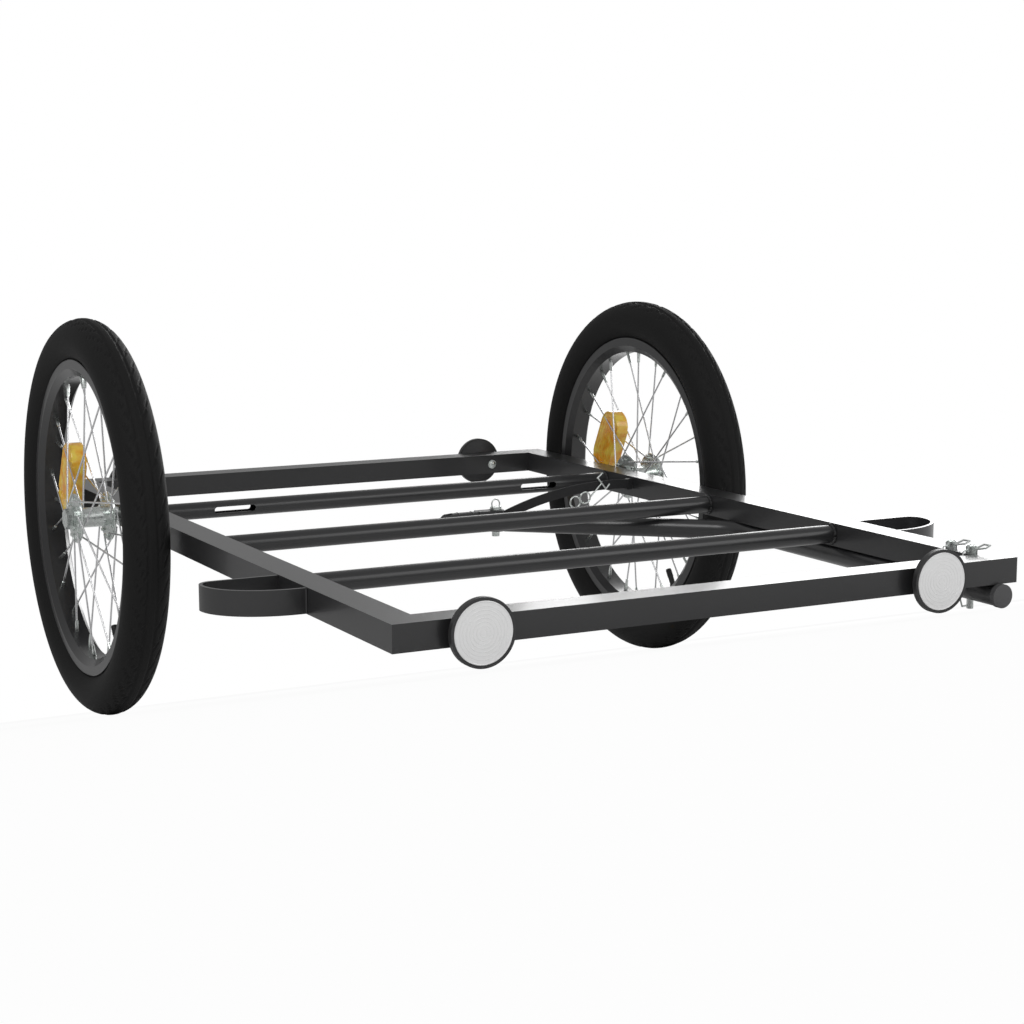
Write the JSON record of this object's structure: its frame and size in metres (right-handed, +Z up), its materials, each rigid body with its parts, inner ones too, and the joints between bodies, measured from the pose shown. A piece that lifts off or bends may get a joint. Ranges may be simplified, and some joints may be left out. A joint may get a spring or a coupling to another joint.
{
  "type": "bicycle cargo trailer",
  "caption": "Flat-bed bicycle cargo trailer: tube frame with round slats, two spoked wheels, side bumper loops, reflectors and a stowed drawbar with a pivoting hitch.",
  "frame": {"origin": "centre of the parked trailer's footprint, on the floor", "axes": "+Y rearward along the trailer, +X to the trailer's left, +Z up; parked nose-down on its wheels and the drawbar's end cap"},
  "size_m": [0.734, 0.8728, 0.4],
  "materials": {
    "black_powder_coat": "satin",
    "rim_paint": "semi-gloss",
    "tyre_rubber": "matt",
    "black_rubber": "matt",
    "black_plastic": "matt",
    "white_lens": "gloss",
    "red_lens": "gloss",
    "amber_lens": "gloss",
    "zinc_steel": "bright zinc",
    "webbing": "matt"
  },
  "bodies": {
    "chassis": {"drawbar_end_cap": "black_plastic", "drawbar_tube": "black_powder_coat", "front_beam": "black_powder_coat", "front_left_reflector_housing": "black_plastic", "front_left_reflector_lens": "white_lens", "front_lock_pin": "zinc_steel", "front_right_reflector_housing": "black_plastic", "front_right_reflector_lens": "white_lens", "front_slat": "black_powder_coat", "hitch_knuckle": "black_powder_coat", "hitch_pin": "zinc_steel", "left_axle": "zinc_steel", "left_bumper_loop": "black_powder_coat", "left_side_rail": "black_powder_coat", "middle_slat": "black_powder_coat", "rear_beam": "black_powder_coat", "rear_left_reflector_housing": "black_plastic", "rear_left_reflector_lens": "red_lens", "rear_lock_pin": "zinc_steel", "rear_right_reflector_housing": "black_plastic", "rear_right_reflector_lens": "red_lens", "rear_slat": "black_powder_coat", "right_axle": "zinc_steel", "right_bumper_loop": "black_powder_coat", "right_side_rail": "black_powder_coat", "safety_strap": "webbing", "snap_hook": "zinc_steel", "strap_links": "zinc_steel"},
    "left_wheel": {"left_tyre": "tyre_rubber", "left_rim": "rim_paint", "left_hub": "zinc_steel", "left_spokes": "zinc_steel", "left_wheel_reflector": "amber_lens", "left_valve_stem": "black_rubber"},
    "right_wheel": {"right_tyre": "tyre_rubber", "right_rim": "rim_paint", "right_hub": "zinc_steel", "right_spokes": "zinc_steel", "right_wheel_reflector": "amber_lens", "right_valve_stem": "black_rubber"},
    "coupler": {"hitch_coupler": "black_plastic"}
  },
  "joints": [
    {"name": "left_wheel_spin", "type": "hinge", "parent": "chassis", "child": "left_wheel", "pos_m": [0.3225, 0.22916, 0.2], "axis": [1, 0, 0], "continuous": true},
    {"name": "right_wheel_spin", "type": "hinge", "parent": "chassis", "child": "right_wheel", "pos_m": [-0.3225, 0.22916, 0.2], "axis": [1, 0, 0], "continuous": true},
    {"name": "hitch_pivot", "type": "hinge", "parent": "chassis", "child": "coupler", "pos_m": [0.079, 0.12515, 0.16414], "axis": [0, -0.2529, 0.9675], "range_deg": [-60, 60]}
  ]
}
